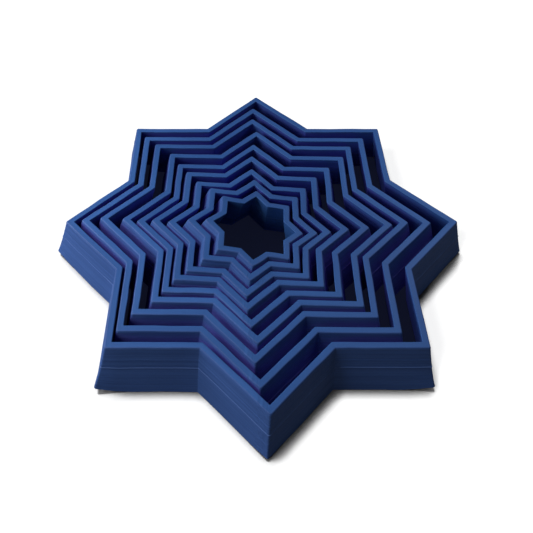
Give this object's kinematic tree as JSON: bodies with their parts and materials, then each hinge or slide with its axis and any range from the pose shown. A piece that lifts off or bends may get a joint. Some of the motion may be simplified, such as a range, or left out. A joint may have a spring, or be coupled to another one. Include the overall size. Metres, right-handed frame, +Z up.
{
  "type": "nested star toy",
  "caption": "Collapsible fidget toy of loose eight-pointed star rings, flared walls nested one inside the other, drawn up into a stepped cone.",
  "frame": {"origin": "centre of the outermost star's foot, on the surface that the toy stands on", "axes": "+Z up, from the wide foot to the narrow top of the walls; -Y towards one point of the outermost star, and +X towards another"},
  "size_m": [0.1106, 0.1106, 0.0176],
  "materials": {
    "blue_plastic": "satin mid-blue printed plastic, with fine level layer lines up the walls"
  },
  "bodies": {
    "outer_ring": {"star_ring_1": "blue_plastic"},
    "ring_2": {"star_ring_2": "blue_plastic"},
    "ring_3": {"star_ring_3": "blue_plastic"},
    "ring_4": {"star_ring_4": "blue_plastic"},
    "ring_5": {"star_ring_5": "blue_plastic"},
    "ring_6": {"star_ring_6": "blue_plastic"},
    "ring_7": {"star_ring_7": "blue_plastic"},
    "ring_8": {"star_ring_8": "blue_plastic"},
    "ring_9": {"star_ring_9": "blue_plastic"}
  },
  "joints": [
    {"name": "ring_2_lift", "type": "slide", "parent": "outer_ring", "child": "ring_2", "axis": [0.2346, 0, 0.9721], "range_m": [0, 0.00596]},
    {"name": "ring_3_lift", "type": "slide", "parent": "ring_2", "child": "ring_3", "axis": [0.1063, -0.0708, 0.9918], "range_m": [0, 0.00564]},
    {"name": "ring_4_lift", "type": "slide", "parent": "ring_3", "child": "ring_4", "axis": [-0.1514, 0.0946, 0.9839], "range_m": [0, 0.00528]},
    {"name": "ring_5_lift", "type": "slide", "parent": "ring_4", "child": "ring_5", "axis": [0.2205, 0.1603, 0.9621], "range_m": [0, 0.00498]},
    {"name": "ring_6_lift", "type": "slide", "parent": "ring_5", "child": "ring_6", "axis": [0.2733, 0.1618, 0.9482], "range_m": [0, 0.00358]},
    {"name": "ring_7_lift", "type": "slide", "parent": "ring_6", "child": "ring_7", "axis": [0.1362, 0.299, 0.9445], "range_m": [0, 0.00337]},
    {"name": "ring_8_lift", "type": "slide", "parent": "ring_7", "child": "ring_8", "axis": [0.0469, 0.3419, 0.9386], "range_m": [0, 0.00149]},
    {"name": "ring_9_lift", "type": "slide", "parent": "ring_8", "child": "ring_9", "axis": [0.1429, 0.313, 0.939], "range_m": [0, 0.00146]}
  ]
}
